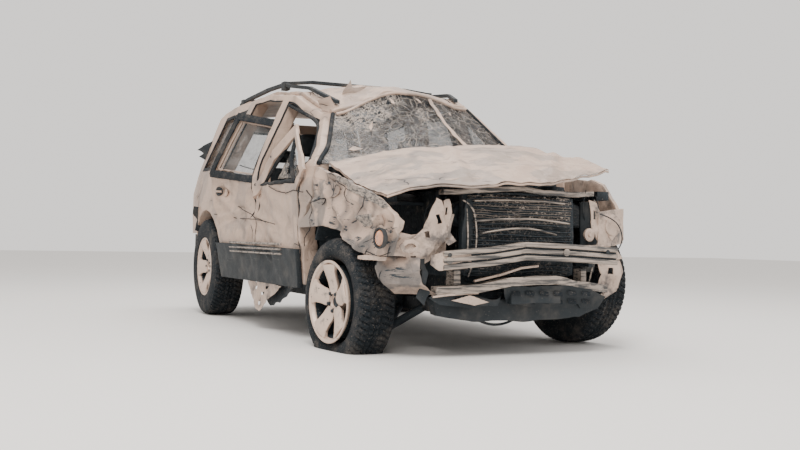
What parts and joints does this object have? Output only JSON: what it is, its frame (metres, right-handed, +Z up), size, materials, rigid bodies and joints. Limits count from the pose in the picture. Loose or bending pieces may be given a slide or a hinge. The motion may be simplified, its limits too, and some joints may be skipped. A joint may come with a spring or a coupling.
{
  "type": "crashed compact sport utility vehicle",
  "caption": "Crashed compact SUV with a crushed nose and roof, burst front tyre, open engine bay, working wheels, steering, doors, hood and tailgate.",
  "frame": {"origin": "on the ground, under the middle of the outer box", "axes": "+Z up, the front faces -Y, the car's right side is at -X"},
  "size_m": [1.8428, 4.1147, 1.7156],
  "materials": {
    "paint": "dusty cream paint, scratched and creased",
    "bare_metal": "torn, bent sheet metal",
    "dark_steel": "dirty underbody steel",
    "black_plastic": "grained trim plastic",
    "rubber": "dusty rubber",
    "alloy": "scuffed cast alloy",
    "glass": "clear, a little dusty",
    "crazed_glass": "laminated glass, crazed all over",
    "trim": "dark cloth and soft plastic",
    "lamp": "tinted lens"
  },
  "bodies": {
    "body": {"air_guide_left": "black_plastic", "air_guide_right": "black_plastic", "apron_left": "dark_steel", "apron_right": "dark_steel", "bumper_beam": "bare_metal", "bumper_corner_left": "paint", "bumper_corner_right": "paint", "cladding_left": "black_plastic", "cladding_right": "black_plastic", "dashboard": "trim", "door_front_right": "paint", "door_glass_rear_right": "glass", "door_rear_right": "paint", "engine_block": "dark_steel", "exhaust": "dark_steel", "fender_left": "paint", "fender_right": "paint", "firewall": "dark_steel", "floor_pan": "dark_steel", "front_cradle": "dark_steel", "fuel_tank": "black_plastic", "headlamp_right": "lamp", "lamp_bracket_left": "bare_metal", "lamp_bracket_right": "bare_metal", "lower_crossmember": "paint", "quarter_glass_left": "glass", "quarter_glass_right": "glass", "radiator": "dark_steel", "rear_axle": "dark_steel", "rear_bumper": "black_plastic", "roof_panel": "paint", "roof_rack": "black_plastic", "seat_front_left": "trim", "seat_front_right": "trim", "seat_rear": "trim", "side_frame_left": "paint", "side_frame_right": "paint", "sill_flap_right": "paint", "tail_lamp_left": "lamp", "tail_lamp_right": "lamp", "undertray": "black_plastic", "upper_tie_bar": "paint", "windshield": "crazed_glass"},
    "wheel_rear_right": {"rim_rear_right": "alloy", "tyre_rear_right": "rubber"},
    "wheel_rear_left": {"rim_rear_left": "alloy", "tyre_rear_left": "rubber"},
    "upright_front_left": {"knuckle_left": "dark_steel"},
    "wheel_front_left": {"rim_front_left": "alloy", "tyre_front_left": "rubber"},
    "upright_front_right": {"knuckle_right": "dark_steel", "tyre_front_right": "rubber"},
    "wheel_front_right": {"rim_front_right": "alloy"},
    "front_door_left": {"door_front_left": "paint", "door_glass_front_left": "glass"},
    "rear_door_left": {"door_rear_left": "paint", "door_glass_rear_left": "glass"},
    "tailgate": {"tailgate": "paint", "tailgate_glass": "glass"},
    "hood": {"hood": "paint"}
  },
  "joints": [
    {"name": "wheel_rear_right_spin", "type": "hinge", "parent": "body", "child": "wheel_rear_right", "pos_m": [-0.7479, 1.2457, 0.3675], "axis": [1, 0, 0], "continuous": true},
    {"name": "wheel_rear_left_spin", "type": "hinge", "parent": "body", "child": "wheel_rear_left", "pos_m": [0.8021, 1.2457, 0.3675], "axis": [1, 0, 0], "continuous": true},
    {"name": "steer_left", "type": "hinge", "parent": "body", "child": "upright_front_left", "pos_m": [0.6721, -1.3143, 0.2], "axis": [-0.1255, 0, 0.9921], "range_deg": [-36.5, 23.5]},
    {"name": "wheel_front_left_spin", "type": "hinge", "parent": "upright_front_left", "child": "wheel_front_left", "pos_m": [0.7571, -1.3143, 0.3675], "axis": [0.9936, 0.1132, 0], "continuous": true},
    {"name": "steer_right", "type": "hinge", "parent": "body", "child": "upright_front_right", "pos_m": [-0.6629, -1.3743, 0.0945], "axis": [0.167, 0, 0.986], "range_deg": [-36.5, 23.5]},
    {"name": "wheel_front_right_spin", "type": "hinge", "parent": "upright_front_right", "child": "wheel_front_right", "pos_m": [-0.7479, -1.3743, 0.262], "axis": [0.9936, 0.1132, 0], "continuous": true},
    {"name": "front_door_left_hinge", "type": "hinge", "parent": "body", "child": "front_door_left", "pos_m": [0.9111, -0.8623, 0.75], "axis": [0, 0, -1], "range_deg": [0, 65]},
    {"name": "rear_door_left_hinge", "type": "hinge", "parent": "body", "child": "rear_door_left", "pos_m": [0.9111, 0.1277, 0.75], "axis": [0, 0, -1], "range_deg": [0, 65]},
    {"name": "tailgate_hinge", "type": "hinge", "parent": "body", "child": "tailgate", "pos_m": [0.0271, 1.7057, 1.555], "axis": [1, 0, 0], "range_deg": [0, 85]},
    {"name": "hood_hinge", "type": "hinge", "parent": "body", "child": "hood", "pos_m": [-0.7429, -1.0643, 1.03], "axis": [-0.9834, -0.1292, -0.1278], "range_deg": [0, 50]}
  ],
  "couplings": [
    {"joint": "steer_right", "follows": "steer_left", "ratio": 1}
  ]
}
